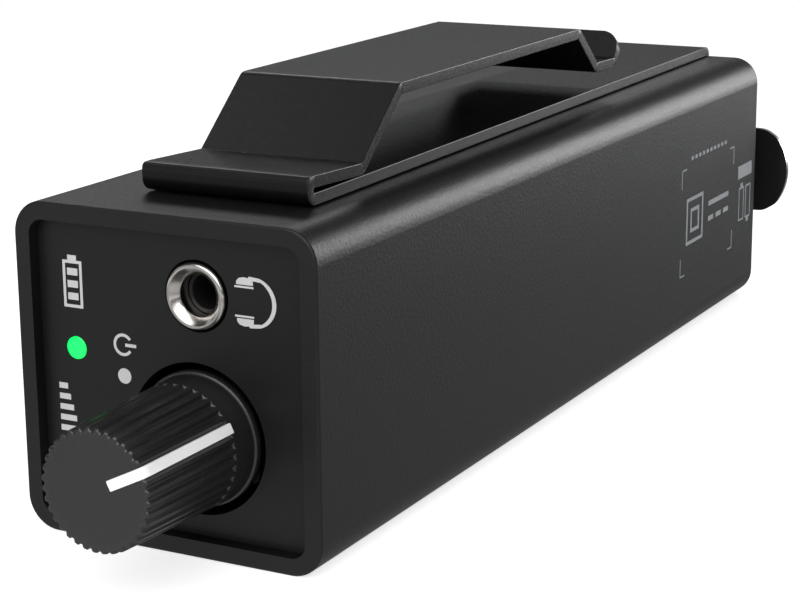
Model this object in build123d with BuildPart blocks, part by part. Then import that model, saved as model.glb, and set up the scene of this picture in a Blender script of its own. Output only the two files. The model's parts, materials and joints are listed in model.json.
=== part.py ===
"""Belt-pack personal monitor amplifier, built as the pieces that come apart on a bench.

Millimetres. +Z is up, the controls face -Y, the line input faces +Y, and +X is to the right of someone
who looks at the controls. The origin is the middle of the case's flat underside.
"""

import os
from math import atan2, cos, degrees, radians, sin

from build123d import *

# Case: a square-section extruded sleeve.
case_width = 36.0
case_height = 35.6
case_length = 130.0
case_corner = 3.6
case_wall = 1.9
inner_corner = 1.7
rim_rounding = 0.3
front_end = -case_length / 2
rear_end = case_length / 2
mid_height = case_height / 2

# End panels, set back inside the sleeve, each with a screw flange along its lower edge.
panel_recess = 1.4
panel_thick = 1.5
panel_gap = 0.05
flange_length = 10.0
flange_thick = 1.6
flange_width = 28.0
panel_screw_x = 11.0
panel_screw_inset = 9.0
front_face = front_end + panel_recess
rear_face = rear_end - panel_recess

# Countersunk M2 screws in the underside.
csk_head_radius = 1.9
csk_head_depth = 0.95
m2_hole = 1.0
m2_shank = 0.97

# Belt clip: one strip of spring steel folded back over itself.
clip_x = 2.5
clip_width = 19.8
clip_rear_width = 15.8
sheet = 1.3
base_gap = 0.15
fold_y = -55.39
fold_inner = 0.25
fold_sweep = 170.0
base_top = case_height + base_gap + sheet
fold_z = base_top + fold_inner
arm_foot_rear = (-45.57, 37.78)
arm_top_front = (-36.98, 45.0)
arm_top_rear = (10.9, 45.2)
arm_valley = (16.65, 40.22)
arm_toe = (22.8, 40.12)
arm_tip = (25.2, 43.6)
arm_bend = 0.8
tip_corner = 2.6
base_rear = 64.7
base_rear_rounding = 0.5
clip_screw_y = (-20.0, 2.0)
clip_screw_radius = 1.45
clip_screw_length = 5.5
clip_hole_radius = 1.6
clip_sink_radius = 2.6
clip_head_radius = 2.52
clip_head_depth = 0.95
drive_width = 0.6
spacer_radius = 3.2
nut_radius = 3.0
nut_height = 1.8
seat_gap = 0.02

# Volume knob on a potentiometer with an off switch.
knob_x = 2.9
knob_z = 12.3
knob_face = -81.3
knob_base = -62.8
knob_face_radius = 6.3
knob_flute_end = -67.0
knob_body_radius = 6.75
knob_lip_radius = 7.15
knob_lip = 0.9
flute_count = 36
flute_radius = 0.3
knob_chamfer = 0.45
knob_hollow = 3.0
knob_rib_inner = 4.5
knob_rib_outer = 5.2
knob_wall_inner = 5.7
knob_hole_radius = 8.05
pointer_angle = 26.0
pointer_width = 1.1
pointer_rise = 0.25
pointer_depth = 0.45
pointer_start = 1.9
pointer_overlap = 0.4
shaft_radius = 3.0
shaft_front = -77.0
shaft_rear = -53.0
running_gap = 0.05
pot_front = -60.0
pot_width = 10.0
pot_depth = 9.6
pot_height = 10.4
wiper_radius = 4.0
wiper_thick = 0.8
wiper_room = 4.5
wiper_front = -53.4
wiper_rear = -51.8
bush_front = -62.3
bush_radius = 4.4
pot_pin_pitch = 2.5
pot_pin_y = -55.0
pot_pin_size = (0.8, 0.4)

# Headphone jack and battery lamp.
jack_x = 3.3
jack_z = 27.3
jack_hole_radius = 3.73
jack_ring_radius = 3.48
jack_ring_bore = 2.3
jack_ring_proud = 0.5
jack_ring_depth = 2.6
jack_bore_radius = 1.85
jack_bore_length = 12.0
jack_box = (9.0, 13.0, 11.0)
jack_collar_radius = 2.25
jack_collar = 0.6
jack_leaf = (0.4, 2.4, 7.5)
jack_leaf_gap = 0.25
jack_leaf_y = (-58.0, -51.0)
housing_front = front_face + 2.65
lamp_x = -11.75
lamp_z = 20.1
lamp_radius = 1.2
lamp_length = 5.2
lamp_dome = 0.2
lamp_flange = 0.5
lamp_lead = 0.4
lamp_lead_length = 4.5

# Main board.
board_thick = 1.6
board_bottom = 19.3
board_top = board_bottom + board_thick
board_half_width = 14.5
board_front = -57.0
board_rear = 33.2
board_hole = 1.15
board_seat = board_top + seat_gap
board_head_radius = 1.9
board_head_height = 1.3
board_screw_length = 7.0

# Parts on the main board: places in x and y, sizes in x, y and z.
chip_places = ((-6.0, -36.0), (6.0, -12.0))
chip_size = (6.2, 5.0, 1.5)
chip_stand = 0.3
chip_lead_pitch = 1.27
chip_lead_reach = 2.9
chip_lead_size = (0.45, 0.9, 0.75)
capacitor_places = ((-8.0, -20.0), (0.5, -26.0), (-8.0, 6.0), (8.0, 16.0))
capacitor_radius = 3.15
capacitor_height = 7.5
capacitor_rounding = 0.5
inductor_place = (0.0, 22.0)
inductor_size = (6.5, 6.5, 3.2)
inductor_corner = 1.4
resistor_middle = (7.5, -38.0)
resistor_pitch = (2.2, 2.4)
resistor_rows = 4
resistor_size = (0.85, 1.6, 0.5)

# Battery compartment with two AAA cells side by side.
cell_radius = 5.15
cell_length = 43.5
cell_x = 5.6
cell_z = 9.3
tray_half_width = 12.8
tray_half_length = 27.4
tray_bottom = 2.1
tray_top = 16.2
bay_half_length = 24.2
bay_radius = 5.45
spring_pitch = 0.9
spring_height = 1.8
spring_radius = 3.2
spring_wire = 0.22
spring_seat = 23.25
cell_rear = 21.2
cell_rounding = 0.4
cell_cap_radius = 1.9
cell_cap = 1.0
plate_thick = 0.3
plate_size = (8.0, 7.0)
plate_y = 23.78
plate_tab = 2.0
dimple_size = 4.5
dimple_depth = 0.46
link_width = 19.0
boss_x = 12.2
boss_y = 29.5
boss_radius = 2.2

# Battery door, a flap on a steel pin in the underside.
door_half_width = 12.9
door_opening = 13.0
door_thick = 1.6
door_axis_y = -26.0
door_axis_z = 0.95
door_rear = 26.8
door_edge_gap = 0.2
door_pin_radius = 0.5
door_pin_half = 15.0
grip_y = (18.0, 20.0, 22.0)
grip_width = 9.0
grip_size = 0.8

# Combined three-pin and quarter-inch line input with a latch lever.
combo_radius = 12.9
collar_radius = 12.0
collar_end = rear_end + 0.2
mouth_radius = 9.6
mouth_floor = 40.0
shell_front = 34.0
insert_radius = 7.7
plug_radius = 3.25
pin_hole_radius = 1.3
pin_circle = 5.2
pin_start = 60.0
panel_inner = rear_face - panel_thick
insert_flange = 3.0
insert_length = 20.0
lug_x = 12.4
lug_dz = 12.2
lug_radius = 2.0
lug_thick = 3.0
lug_screw_radius = 1.2
lug_head_radius = 2.3
lug_head_height = 1.3
terminal_x = (-8.0, -5.0, 5.0, 8.0)
terminal_size = (1.0, 4.0, 0.4)

# Latch lever on a cross pin, with its thumb paddle behind the rear end.
lever_x = 11.6
lever_axis_y = 50.0
lever_sheet = 0.8
lever_half_width = 3.0
lever_pin_radius = 0.6
lever_pin_half = 4.8
paddle_y = 71.0
paddle_half = 6.3
paddle_end_x = 21.0
paddle_shoulder = 5.2
paddle_round = 3.0
paddle_corner = 1.2
hook_x = 8.9
hook_y = (55.4, 56.9, 57.8, 60.6)
hook_width = 3.6
coil_radius = 0.9
coil_pitch = 0.5
coil_height = 2.0
coil_wire = 0.16
channel_half = 3.3
channel_inner = 10.15
channel_outer = 14.6
channel_front = 47.5

# Mono and stereo slide switch in a lower corner of the rear panel.
switch_x = -11.8
switch_z = 5.1
switch_width = 7.4
switch_height = 2.8
switch_depth = 4.0
switch_travel = 2.0
slot_size = 1.8
nub_size = 1.6
nub_length = 4.4
nub_proud = 0.9
wire_pitch = 1.2
wire_radius = 0.4
wire_bend = 2.0
wire_rise_y = 32.8


def across(y, z=0):
    """A plane square to the case's length at y: local axes X and Z, normal towards the front."""
    return Plane(origin=(0, y, z), x_dir=(1, 0, 0), z_dir=(0, -1, 0))


def knob_section(angle):
    """A half plane through the knob's axis: local x towards the front, local y outwards at an angle."""
    lean = radians(angle)
    return Plane(
        origin=(knob_x, 0, knob_z), x_dir=(0, -1, 0), z_dir=(-sin(lean), 0, cos(lean))
    )


# ---------------------------------------------------------------- case and panels

with BuildPart() as case_sleeve:
    with BuildSketch(across(front_end)):
        with Locations((0, mid_height)):
            RectangleRounded(case_width, case_height, case_corner)
            RectangleRounded(
                case_width - 2 * case_wall, case_height - 2 * case_wall, inner_corner, mode=Mode.SUBTRACT
            )
    extrude(amount=-case_length)
    for end in case_sleeve.faces().filter_by(Axis.Y):
        fillet(end.outer_wire().edges(), rim_rounding)
    opening_front = door_axis_y - door_thick / 2 - door_edge_gap
    opening_rear = door_rear + door_edge_gap
    with BuildSketch(Plane.XY):
        with Locations((0, (opening_front + opening_rear) / 2)):
            Rectangle(2 * door_opening, opening_rear - opening_front)
    extrude(amount=case_wall, mode=Mode.SUBTRACT)
    with BuildSketch(Plane.YZ.offset(-door_pin_half - 0.1)):
        with Locations((door_axis_y, door_axis_z)):
            Circle(door_pin_radius + 0.02)
    extrude(amount=2 * door_pin_half + 0.2, mode=Mode.SUBTRACT)
    with Locations(Plane.XY.offset(case_height)):
        with Locations(*[(clip_x, y) for y in clip_screw_y]):
            Hole(clip_hole_radius, depth=case_wall)
    panel_screw_y = rear_end - panel_screw_inset
    with Locations(Plane.YX):
        with Locations(
            *[(y, x) for x in (-panel_screw_x, panel_screw_x) for y in (-panel_screw_y, panel_screw_y)],
            *[(y, x) for x in (-boss_x, boss_x) for y in (-boss_y, boss_y)],
        ):
            CounterSinkHole(m2_hole + 0.1, csk_head_radius + 0.05, depth=case_wall)
case_sleeve.part.label = "case_sleeve"

with BuildPart() as front_panel:
    with BuildSketch(across(front_face)):
        with Locations((0, mid_height)):
            RectangleRounded(
                case_width - 2 * (case_wall + panel_gap),
                case_height - 2 * (case_wall + panel_gap),
                inner_corner - panel_gap,
            )
        with Locations((knob_x, knob_z)):
            Circle(knob_hole_radius, mode=Mode.SUBTRACT)
        with Locations((jack_x, jack_z)):
            Circle(jack_hole_radius, mode=Mode.SUBTRACT)
        with Locations((lamp_x, lamp_z)):
            Circle(lamp_radius + 0.05, mode=Mode.SUBTRACT)
    extrude(amount=-panel_thick)
    with Locations((0, front_face + panel_thick, case_wall + panel_gap)):
        Box(flange_width, flange_length, flange_thick, align=(Align.CENTER, Align.MIN, Align.MIN))
    with Locations(Plane.XY.offset(case_wall + panel_gap + flange_thick)):
        with Locations((-panel_screw_x, -panel_screw_y), (panel_screw_x, -panel_screw_y)):
            Hole(m2_hole, depth=flange_thick)
front_panel.part.label = "front_panel"

with BuildPart() as rear_panel:
    with BuildSketch(across(panel_inner)):
        with Locations((0, mid_height)):
            RectangleRounded(
                case_width - 2 * (case_wall + panel_gap),
                case_height - 2 * (case_wall + panel_gap),
                inner_corner - panel_gap,
            )
            Circle(collar_radius + 0.1, mode=Mode.SUBTRACT)
            with Locations((channel_outer / 2, 0)):
                Rectangle(channel_outer, 2 * channel_half + 0.2, mode=Mode.SUBTRACT)
        with Locations((-lug_x, mid_height + lug_dz), (lug_x, mid_height - lug_dz)):
            Circle(lug_screw_radius + 0.15, mode=Mode.SUBTRACT)
        with Locations((switch_x, switch_z)):
            Rectangle(slot_size + switch_travel, slot_size, mode=Mode.SUBTRACT)
    extrude(amount=-panel_thick)
    with Locations((0, panel_inner, case_wall + panel_gap)):
        Box(flange_width, flange_length, flange_thick, align=(Align.CENTER, Align.MAX, Align.MIN))
    with Locations(Plane.XY.offset(case_wall + panel_gap + flange_thick)):
        with Locations((-panel_screw_x, panel_screw_y), (panel_screw_x, panel_screw_y)):
            Hole(m2_hole, depth=flange_thick)
rear_panel.part.label = "rear_panel"


def countersunk_screws(places, tip_z):
    """Countersunk screws that enter the underside, their heads just below its surface."""
    head_z = 0.1
    with BuildPart() as screws:
        for x, y in places:
            with BuildSketch(Plane(origin=(x, y, 0), x_dir=(1, 0, 0), z_dir=(0, -1, 0))):
                with BuildLine():
                    Polyline(
                        (0, head_z + 0.5),
                        (0, tip_z),
                        (m2_shank - 0.2, tip_z),
                        (m2_shank, tip_z - 0.3),
                        (m2_shank, head_z + csk_head_depth),
                        (csk_head_radius - 0.15, head_z),
                        (0.9, head_z),
                        (0.7, head_z + 0.5),
                        close=True,
                    )
                make_face()
            revolve(axis=Axis((x, y, 0), (0, 0, 1)))
    return screws


panel_screws = countersunk_screws(
    [(x, y) for x in (-panel_screw_x, panel_screw_x) for y in (-panel_screw_y, panel_screw_y)], 3.5
)
panel_screws.part.label = "panel_screws"

tray_screws = countersunk_screws([(x, y) for x in (-boss_x, boss_x) for y in (-boss_y, boss_y)], 7.0)
tray_screws.part.label = "tray_screws"

# ---------------------------------------------------------------- belt clip

with BuildPart() as clip_base:
    with BuildSketch(Plane.XY.offset(base_top - sheet)):
        with BuildLine():
            Polyline(
                (clip_x - clip_width / 2, fold_y),
                (clip_x + clip_width / 2, fold_y),
                (clip_x + clip_rear_width / 2, base_rear),
                (clip_x - clip_rear_width / 2, base_rear),
                close=True,
            )
        make_face()
    extrude(amount=sheet)
    with Locations((clip_x, base_rear, base_top)):
        Box(
            clip_rear_width,
            sheet,
            base_gap + sheet - 0.03,
            align=(Align.CENTER, Align.MAX, Align.MAX),
        )
    rear_top = clip_base.edges().filter_by(Axis.X).group_by(Axis.Y)[-1].sort_by(Axis.Z)[-1]
    fillet(rear_top, base_rear_rounding)
    with Locations(Plane.XY.offset(base_top)):
        with Locations(*[(clip_x, y) for y in clip_screw_y]):
            CounterSinkHole(clip_hole_radius, clip_sink_radius, depth=sheet)
clip_base.part.label = "clip_base"

with BuildPart() as clip_arm:
    with BuildSketch(Plane.YZ.offset(clip_x - clip_width / 2)) as arm_outline:
        with BuildLine():
            fold_mid = fold_inner + sheet / 2
            CenterArc((fold_y, fold_z), fold_mid, 90, fold_sweep)
            FilletPolyline(
                (fold_y, fold_z + fold_mid),
                arm_foot_rear,
                arm_top_front,
                arm_top_rear,
                arm_valley,
                arm_toe,
                arm_tip,
                radius=arm_bend,
            )
        trace(line_width=sheet)
    extrude(amount=clip_width)
    tip_corners = (
        clip_arm.edges()
        .filter_by(lambda edge: abs(edge.length - sheet) < 0.05 and edge.center().Z > arm_tip[1] - 0.5)
    )
    fillet(tip_corners, tip_corner)
clip_arm.part.label = "clip_arm"

with BuildPart() as clip_screws:
    head_top = base_top - seat_gap
    for screw_y in clip_screw_y:
        with BuildSketch(across(screw_y)):
            with BuildLine():
                Polyline(
                    (clip_x, head_top),
                    (clip_x + clip_head_radius, head_top),
                    (clip_x + clip_hole_radius, head_top - clip_head_depth),
                    (clip_x + clip_screw_radius, head_top - clip_head_depth),
                    (clip_x + clip_screw_radius, head_top - clip_screw_length),
                    (clip_x, head_top - clip_screw_length),
                    close=True,
                )
            make_face()
        revolve(axis=Axis((clip_x, screw_y, 0), (0, 0, 1)))
    with Locations(*[(clip_x, y, head_top) for y in clip_screw_y]):
        Box(clip_head_radius, drive_width, clip_head_depth, mode=Mode.SUBTRACT)
        Box(drive_width, clip_head_radius, clip_head_depth, mode=Mode.SUBTRACT)
clip_screws.part.label = "clip_screws"

with BuildPart() as clip_spacers:
    with BuildSketch(Plane.XY.offset(case_height + seat_gap)):
        with Locations(*[(clip_x, y) for y in clip_screw_y]):
            Circle(spacer_radius)
            Circle(clip_hole_radius, mode=Mode.SUBTRACT)
    extrude(amount=base_gap - 2 * seat_gap)
clip_spacers.part.label = "clip_spacers"

with BuildPart() as clip_nuts:
    with BuildSketch(Plane.XY.offset(case_height - case_wall - seat_gap)):
        with Locations(*[(clip_x, y) for y in clip_screw_y]):
            RegularPolygon(nut_radius, 6)
            Circle(clip_screw_radius + 0.03, mode=Mode.SUBTRACT)
    extrude(amount=-nut_height)
clip_nuts.part.label = "clip_nuts"

# ---------------------------------------------------------------- knob and potentiometer

knob_axis = Axis((knob_x, 0, knob_z), (0, 1, 0))

with BuildPart() as knob_pointer:
    with BuildSketch(knob_section(pointer_angle)):
        with BuildLine():
            Polyline(
                (-knob_face + pointer_rise, pointer_start),
                (-knob_face + pointer_rise, knob_face_radius + pointer_rise - knob_chamfer),
                (-knob_face + pointer_rise - knob_chamfer, knob_face_radius + pointer_rise),
                (-knob_flute_end + pointer_overlap, knob_body_radius + pointer_rise),
                (-knob_flute_end + pointer_overlap, knob_body_radius - pointer_depth),
                (-knob_face - pointer_depth, knob_face_radius - pointer_depth),
                (-knob_face - pointer_depth, pointer_start),
                close=True,
            )
        make_face()
    extrude(amount=pointer_width / 2, both=True)
knob_pointer.part.label = "knob_pointer"

with BuildPart() as knob:
    with BuildSketch(knob_section(0)):
        with BuildLine():
            Polyline(
                (-shaft_front + 0.1, 0),
                (-knob_face, 0),
                (-knob_face, knob_face_radius - knob_chamfer),
                (-knob_face - knob_chamfer, knob_face_radius),
                (-knob_flute_end, knob_body_radius),
                (-knob_base + knob_lip + 0.3, knob_body_radius),
                (-knob_base + knob_lip, knob_lip_radius),
                (-knob_base, knob_lip_radius),
                (-knob_base, knob_wall_inner),
                (-knob_face - knob_hollow, knob_rib_outer),
                (-knob_face - knob_hollow, knob_rib_inner),
                (-knob_base, knob_rib_inner),
                (-knob_base, shaft_radius + seat_gap),
                (-shaft_front + 0.1, shaft_radius + seat_gap),
                close=True,
            )
        make_face()
    revolve(axis=knob_axis)
    flute_length = knob_flute_end - knob_face
    flute_lean = degrees(atan2(knob_body_radius - knob_face_radius, flute_length))
    flute_plane = Plane(
        origin=(knob_x, knob_flute_end - 0.5, knob_z), x_dir=(1, 0, 0), z_dir=(0, -1, 0)
    )
    with Locations(flute_plane):
        with PolarLocations(knob_body_radius + 0.05, flute_count, start_angle=pointer_angle + 5):
            Cylinder(
                flute_radius,
                flute_length + 1,
                rotation=(0, -flute_lean, 0),
                align=(Align.CENTER, Align.CENTER, Align.MIN),
                mode=Mode.SUBTRACT,
            )
            Sphere(flute_radius, mode=Mode.SUBTRACT)
    add(knob_pointer.part, mode=Mode.SUBTRACT)
knob.part.label = "knob"

with BuildPart() as pot_shaft:
    with BuildSketch(across(shaft_front)):
        with Locations((knob_x, knob_z)):
            Circle(shaft_radius)
    extrude(amount=shaft_front - shaft_rear)
pot_shaft.part.label = "pot_shaft"

with BuildPart() as pot_wiper:
    with BuildSketch(across(shaft_rear + 0.05)):
        with Locations((knob_x, knob_z)):
            Circle(wiper_radius)
            with Locations((0, wiper_radius - 0.4)):
                Rectangle(2 * wiper_thick, 1.5 * wiper_thick)
    extrude(amount=-wiper_thick)
pot_wiper.part.label = "pot_wiper"

with BuildPart() as pot_housing:
    with Locations((knob_x, pot_front, knob_z)):
        Box(pot_width, pot_depth, pot_height, align=(Align.CENTER, Align.MIN, Align.CENTER))
    fillet(pot_housing.edges().filter_by(Axis.Y), 0.8)
    with BuildSketch(across(pot_front)):
        with Locations((knob_x, knob_z)):
            Circle(shaft_radius + running_gap)
    extrude(amount=pot_front - wiper_rear + 0.2, mode=Mode.SUBTRACT)
    with BuildSketch(across(wiper_front)):
        with Locations((knob_x, knob_z)):
            Circle(wiper_room)
    extrude(amount=wiper_front - wiper_rear, mode=Mode.SUBTRACT)
pot_housing.part.label = "pot_housing"

with BuildPart() as pot_bushing:
    with BuildSketch(across(bush_front)):
        with Locations((knob_x, knob_z)):
            Circle(bush_radius)
            Circle(shaft_radius + running_gap, mode=Mode.SUBTRACT)
    extrude(amount=bush_front - pot_front + seat_gap)
pot_bushing.part.label = "pot_bushing"

with BuildPart() as pot_pins:
    pin_foot = knob_z + pot_height / 2 + seat_gap
    with Locations(*[(knob_x + step * pot_pin_pitch, pot_pin_y, pin_foot) for step in (-1, 0, 1)]):
        Box(*pot_pin_size, board_bottom - pin_foot - seat_gap, align=(Align.CENTER, Align.CENTER, Align.MIN))
pot_pins.part.label = "pot_pins"

# ---------------------------------------------------------------- headphone jack and lamp

with BuildPart() as jack_ring:
    with BuildSketch(Plane(origin=(jack_x, 0, jack_z), x_dir=(0, -1, 0), z_dir=(0, 0, 1))):
        with BuildLine():
            ring_front = -front_face + jack_ring_proud
            ring_back = -front_face - jack_ring_depth
            Polyline(
                (ring_back, jack_ring_bore),
                (ring_front - 0.9, jack_ring_bore),
                (ring_front - 0.05, jack_ring_radius - 0.53),
                (ring_front, jack_ring_radius - 0.43),
                (ring_front - 0.12, jack_ring_radius - 0.23),
                (ring_front - 0.4, jack_ring_radius),
                (ring_back, jack_ring_radius),
                close=True,
            )
        make_face()
    revolve(axis=Axis((jack_x, 0, jack_z), (0, 1, 0)))
jack_ring.part.label = "jack_ring"

with BuildPart() as jack_housing:
    with Locations((jack_x, housing_front, board_seat)):
        Box(*jack_box, align=(Align.CENTER, Align.MIN, Align.MIN))
    fillet(jack_housing.edges().filter_by(Axis.Y), 0.5)
    with BuildSketch(across(housing_front - jack_collar)):
        with Locations((jack_x, jack_z)):
            Circle(jack_collar_radius)
    extrude(amount=-jack_collar - 0.1)
    with BuildSketch(across(housing_front - jack_collar)):
        with Locations((jack_x, jack_z)):
            Circle(jack_bore_radius)
    extrude(amount=-jack_bore_length, mode=Mode.SUBTRACT)
jack_housing.part.label = "jack_housing"

with BuildPart() as jack_contacts:
    leaf_x = jack_box[0] / 2 + jack_leaf_gap
    leaf_foot = board_seat + 0.01
    with Locations(*[(jack_x + side * leaf_x, y, leaf_foot) for side in (-1, 1) for y in jack_leaf_y]):
        Box(*jack_leaf, align=(Align.CENTER, Align.CENTER, Align.MIN))
    with Locations(Location((jack_x, housing_front + jack_box[1] + jack_leaf_gap, leaf_foot), (0, 0, 90))):
        Box(*jack_leaf, align=(Align.CENTER, Align.CENTER, Align.MIN))
jack_contacts.part.label = "jack_contacts"

with BuildPart() as lamp_lens:
    with BuildSketch(across(front_face)):
        with Locations((lamp_x, lamp_z)):
            Circle(lamp_radius)
    extrude(amount=-lamp_length)
    with BuildSketch(across(front_face + panel_thick + 0.7)):
        with Locations((lamp_x, lamp_z)):
            Circle(lamp_radius + lamp_flange)
    extrude(amount=-0.8)
    with BuildSketch(across(front_face)):
        with Locations((lamp_x, lamp_z)):
            Circle(lamp_radius)
    extrude(amount=lamp_dome, taper=45)
lamp_lens.part.label = "lamp_lens"

with BuildPart() as lamp_leads:
    lead_y = front_face + lamp_length + seat_gap
    lead_offset = lamp_lead / 2 + seat_gap
    for lead_z in (board_top + lead_offset, board_bottom - lead_offset):
        with Locations((lamp_x, lead_y, lead_z)):
            Box(lamp_lead, lamp_lead_length, lamp_lead, align=(Align.CENTER, Align.MIN, Align.CENTER))
lamp_leads.part.label = "lamp_leads"

# ---------------------------------------------------------------- main board

with BuildPart() as main_board:
    with BuildSketch(Plane.XY.offset(board_bottom)):
        with Locations((0, (board_front + board_rear) / 2)):
            Rectangle(2 * board_half_width, board_rear - board_front)
        with Locations(*[(x, y) for x in (-boss_x, boss_x) for y in (-boss_y, boss_y)]):
            Circle(board_hole, mode=Mode.SUBTRACT)
    extrude(amount=board_thick)
main_board.part.label = "main_board"

with BuildPart() as board_screws:
    with Locations(*[(x, y, board_seat) for x in (-boss_x, boss_x) for y in (-boss_y, boss_y)]):
        Cylinder(board_head_radius, board_head_height, align=(Align.CENTER, Align.CENTER, Align.MIN))
        Cylinder(m2_shank, board_screw_length, align=(Align.CENTER, Align.CENTER, Align.MAX))
board_screws.part.label = "board_screws"

with BuildPart() as amplifier_chips:
    for chip_x, chip_y in chip_places:
        with Locations((chip_x, chip_y, board_top + chip_stand)):
            Box(*chip_size, align=(Align.CENTER, Align.CENTER, Align.MIN))
        for side in (-1, 1):
            with Locations((chip_x, chip_y + side * chip_lead_reach, board_seat)):
                with GridLocations(chip_lead_pitch, 1, 4, 1):
                    Box(*chip_lead_size, align=(Align.CENTER, Align.CENTER, Align.MIN))
amplifier_chips.part.label = "amplifier_chips"

with BuildPart() as capacitors:
    with Locations(*[(x, y, board_seat) for x, y in capacitor_places]):
        Cylinder(capacitor_radius, capacitor_height, align=(Align.CENTER, Align.CENTER, Align.MIN))
    fillet(capacitors.edges().filter_by(GeomType.CIRCLE).group_by(Axis.Z)[-1], capacitor_rounding)
capacitors.part.label = "capacitors"

with BuildPart() as inductor:
    with Locations((*inductor_place, board_seat)):
        Box(*inductor_size, align=(Align.CENTER, Align.CENTER, Align.MIN))
    chamfer(inductor.edges().filter_by(Axis.Z), inductor_corner)
inductor.part.label = "inductor"

with BuildPart() as resistors:
    with Locations((*resistor_middle, board_seat)):
        with GridLocations(*resistor_pitch, resistor_rows, resistor_rows):
            Box(*resistor_size, align=(Align.CENTER, Align.CENTER, Align.MIN))
resistors.part.label = "resistors"

# ---------------------------------------------------------------- batteries and their compartment

with BuildPart() as battery_tray:
    with Locations((0, 0, tray_bottom)):
        Box(
            2 * tray_half_width,
            2 * tray_half_length,
            tray_top - tray_bottom,
            align=(Align.CENTER, Align.CENTER, Align.MIN),
        )
    with BuildSketch(across(-bay_half_length)):
        for bay_x in (-cell_x, cell_x):
            with Locations((bay_x, cell_z)):
                Circle(bay_radius)
            with Locations((bay_x, (cell_z + tray_bottom) / 2)):
                Rectangle(2 * bay_radius, cell_z - tray_bottom)
    extrude(amount=-2 * bay_half_length, mode=Mode.SUBTRACT)
    with Locations(*[(x, y, tray_bottom) for x in (-boss_x, boss_x) for y in (-boss_y, boss_y)]):
        Cylinder(
            boss_radius,
            board_bottom - tray_bottom - seat_gap,
            align=(Align.CENTER, Align.CENTER, Align.MIN),
        )
        Cylinder(
            m2_hole,
            board_bottom - tray_bottom,
            align=(Align.CENTER, Align.CENTER, Align.MIN),
            mode=Mode.SUBTRACT,
        )
    with Locations(*[(x, bay_half_length - 0.4, tray_top) for x in (-cell_x, cell_x)]):
        Box(2.6, 1.0, 8.0, mode=Mode.SUBTRACT)
    with Locations((0, 0.6 - bay_half_length, cell_z)):
        Box(4.0, 1.2, 7.6, mode=Mode.SUBTRACT)
battery_tray.part.label = "battery_tray"


def battery_cell(x, facing):
    """An AAA cell that lies along Y, its raised terminal towards facing (+1 is the rear)."""
    plane = Plane(origin=(x, -facing * cell_rear, cell_z), x_dir=(1, 0, 0), z_dir=(0, facing, 0))
    with BuildPart(plane) as cell:
        Cylinder(cell_radius, cell_length, align=(Align.CENTER, Align.CENTER, Align.MIN))
        fillet(cell.edges().filter_by(GeomType.CIRCLE), cell_rounding)
        with Locations((0, 0, cell_length)):
            Cylinder(cell_cap_radius, cell_cap, align=(Align.CENTER, Align.CENTER, Align.MIN))
    return cell


battery_cell_left = battery_cell(-cell_x, 1)
battery_cell_left.part.label = "battery_cell_left"

battery_cell_right = battery_cell(cell_x, -1)
battery_cell_right.part.label = "battery_cell_right"

with BuildPart() as battery_springs:
    for spring_x, facing in ((-cell_x, 1), (cell_x, -1)):
        with BuildLine():
            coil = Helix(
                pitch=spring_pitch,
                height=spring_height,
                radius=spring_radius,
                center=(spring_x, -facing * spring_seat, cell_z),
                direction=(0, facing, 0),
            )
        with BuildSketch(Plane(origin=coil @ 0, z_dir=coil % 0)):
            Circle(spring_wire)
        sweep(path=coil, is_frenet=True)
battery_springs.part.label = "battery_springs"

with BuildPart() as battery_contacts:
    plate_half = plate_size[1] / 2
    tab_height = board_bottom - cell_z - plate_half - seat_gap
    for contact_x in (-cell_x, cell_x):
        with Locations((contact_x, plate_y, cell_z)):
            Box(plate_size[0], plate_thick, plate_size[1], align=(Align.CENTER, Align.MIN, Align.CENTER))
        with Locations((contact_x, plate_y, cell_z + plate_half)):
            Box(plate_tab, plate_thick, tab_height, align=(Align.CENTER, Align.MIN, Align.MIN))
    with Locations((-cell_x, plate_y, cell_z)):
        Box(dimple_size, dimple_depth, dimple_size, align=(Align.CENTER, Align.MAX, Align.CENTER))
battery_contacts.part.label = "battery_contacts"

with BuildPart() as battery_link:
    with Locations((0, -plate_y, cell_z)):
        Box(link_width, plate_thick, plate_size[1], align=(Align.CENTER, Align.MAX, Align.CENTER))
    with Locations((cell_x, -plate_y, cell_z)):
        Box(dimple_size, dimple_depth, dimple_size, align=(Align.CENTER, Align.MIN, Align.CENTER))
battery_link.part.label = "battery_link"

with BuildPart() as battery_door:
    with BuildSketch(Plane.YZ.offset(-door_half_width)):
        with BuildLine():
            half = door_thick / 2
            Line((door_axis_y, door_axis_z - half), (door_rear, door_axis_z - half))
            Line((door_rear, door_axis_z - half), (door_rear, door_axis_z + half))
            Line((door_rear, door_axis_z + half), (door_axis_y, door_axis_z + half))
            ThreePointArc(
                (door_axis_y, door_axis_z + half),
                (door_axis_y - half, door_axis_z),
                (door_axis_y, door_axis_z - half),
            )
        make_face()
    extrude(amount=2 * door_half_width)
    with BuildSketch(Plane.YZ.offset(-door_half_width)):
        with Locations((door_axis_y, door_axis_z)):
            Circle(door_pin_radius + running_gap)
    extrude(amount=2 * door_half_width, mode=Mode.SUBTRACT)
    with Locations(Plane.XY.offset(door_axis_z - half)):
        with Locations(*[(0, y) for y in grip_y]):
            Box(grip_width, grip_size, grip_size, mode=Mode.SUBTRACT)
battery_door.part.label = "battery_door"

with BuildPart() as door_pin:
    with BuildSketch(Plane.YZ.offset(-door_pin_half)):
        with Locations((door_axis_y, door_axis_z)):
            Circle(door_pin_radius)
    extrude(amount=2 * door_pin_half)
door_pin.part.label = "door_pin"

# ---------------------------------------------------------------- line input

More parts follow.
